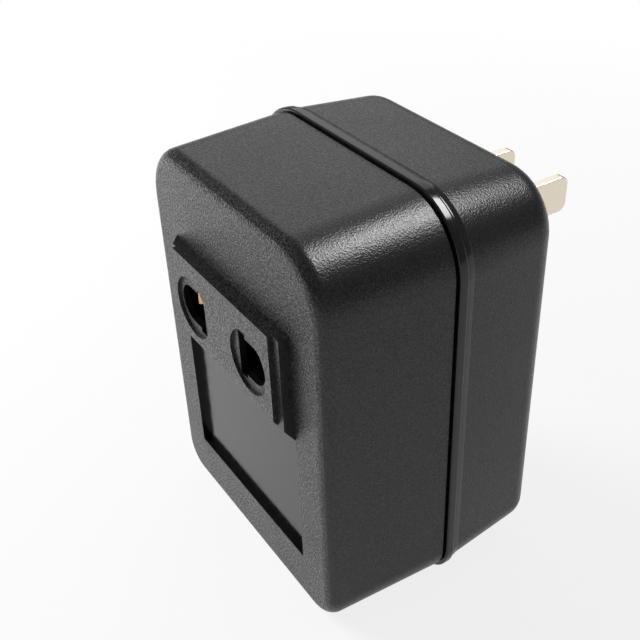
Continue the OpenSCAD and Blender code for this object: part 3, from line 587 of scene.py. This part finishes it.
# Front shell
# The half of the case that shows: the same moulded plastic, with a smooth proud bead at the
# parting line, the raised socket boss and the sunk label panel, which is left bare.
face_y = -41.1
front_wall_y = -40.1  # within the front wall, so that what stands there joins it
panel_y, panel_low = -40.1, -23.2
boss_y, ledge_y = -43.5, -42.85
boss_top, boss_low, boss_foot = 18.9, 4.1, 3.4
boss_left, boss_right, boss_half = -13.7, 15.0, 16.8
socket_x, socket_z = 8.55, 10.6
sink_y, sink_r = -43.0, 5.1
slot_from, slot_to, slot_half = 5.4, 7.3, 3.9
pin_x, pin_r = 9.5, 3.2
ahead_y = -45  # in front of everything, where the cutters of the sockets start
opening_deep = 3.2
contact_room_w, contact_room_h = 15.3, 3.5

# The front's grain is the coarsest: its rims shine where the table is mirrored, and they are painted paler
# than on the other faces, a painted light for the light that falls on the front
case_front_lit = moulded(
    "case_front_lit", grey(0.0005), grey(0.08),
    scales=(2700, 4100), rough=(0.44, 0.17), depth=0.0001, shine=0.52)

# From the inside of the wall over the lap joint, the bead and its groove to the rounding at the front face
front_stations = [
    (20.9, 2.8), (1.7, 2.07), (1.7, 1.1), (0, 1.1),
    (0, -0.25), (0.03, -0.36), (0.11, -0.44), (0.24, -0.49), (0.4, -0.5),
    (1.2, -0.5), (1.34, -0.47), (1.44, -0.4), (1.49, -0.28), (1.5, -0.1),
    (1.52, 0.48), (1.88, 0.48), (1.9, 0.1),
    *end_round(22.9, 0.8, 2.3),
]
front_half = shell_half(-1, front_stations, skin_from=1.9, skin_to=21.4)
# faces turned to the front take the plastic with the painted light
for face in front_half.faces:
    if face.material_index == textured and face.normal.y < -0.85:
        face.material_index = front
front_shell = new_piece("front_shell_case", front_half, case_textured, case_smooth, case_inside, case_front_lit)


def foot_at(y):
    """Height of the sloped foot of the boss, which runs on into the label panel"""
    return boss_low - (y - boss_y) * boss_foot / (face_y - boss_y)


def outline_along_z(points, low, high):
    """A plan in X and Y drawn along Z; low is a function of Y"""
    bm, far = drawn_outline([(x, y, 0) for x, y in points], (0, 0, 0))
    for vert in bm.verts:
        vert.co.z = low(vert.co.y / mm) * mm
    for vert in far:
        vert.co.z = high * mm
    bmesh.ops.recalc_face_normals(bm, faces=bm.faces)
    return with_skin(bm, smooth)


boss_plan = [
    (-18.0, front_wall_y), (-14.7, ledge_y), (boss_left, ledge_y), (boss_left, boss_y),
    (boss_right, boss_y), (boss_right, ledge_y), (boss_half, ledge_y), (boss_half, front_wall_y),
]
boss = outline_along_z(boss_plan, foot_at, boss_top)
# the boss's proud face takes the front's plastic with its painted light
for face in boss.faces:
    proud = face.normal.y < -0.99 and abs(face.calc_center_median().y / mm - boss_y) < 0.05
    foot = face.normal.z < -0.3
    face.material_index = front if proud else smooth if foot else textured
carve(front_shell, "UNION", boss)
carve(front_shell, "UNION", block((-18.8, -40.6, -25.2), (18.8, -38.6, 0.7)))
panel_plan = [
    (-boss_half, panel_y), (boss_half, panel_y), (boss_half, boss_y - 0.5), (-boss_half, boss_y - 0.5)]
carve(front_shell, "DIFFERENCE", outline_along_z(panel_plan, foot_at, panel_low))
carve(front_shell, "DIFFERENCE", block(
    (-contact_room_w, -41.9, socket_z - contact_room_h), (contact_room_w, -39.0, socket_z + contact_room_h)))
carve(front_shell, "UNION", rod(0, socket_z, -42.7, -33.2, pilot_post_r))
pin_turns = [math.radians(a) for a in range(-90, 91, 9)]
opening_outline = [
    (slot_from, -slot_half), (slot_to, -slot_half), (slot_to, -pin_r),
    *((pin_x + pin_r * math.cos(a), pin_r * math.sin(a)) for a in pin_turns),
    (slot_to, pin_r), (slot_to, slot_half), (slot_from, slot_half),
]
for side in (-1, 1):
    carve(front_shell, "UNION", rod(side * screw_x, screw_z, front_wall_y, seam_y, pilot_post_r))
    carve(front_shell, "DIFFERENCE", rod(side * screw_x, screw_z, -26.5, -18, pilot_r))
    carve(front_shell, "DIFFERENCE", rod(
        side * socket_x, socket_z, ahead_y, sink_y, sink_r, skin=front, segments=64))
    opening, _ = drawn_outline(
        [(side * x, ahead_y, socket_z + z) for x, z in opening_outline], (0, opening_deep, 0))
    carve(front_shell, "DIFFERENCE", with_skin(opening, inside))
carve(front_shell, "DIFFERENCE", rod(0, socket_z, -39.7, -33, pilot_r))
finish_edges(front_shell, 0.00006)
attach(front_shell, "case")
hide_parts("front_shell")
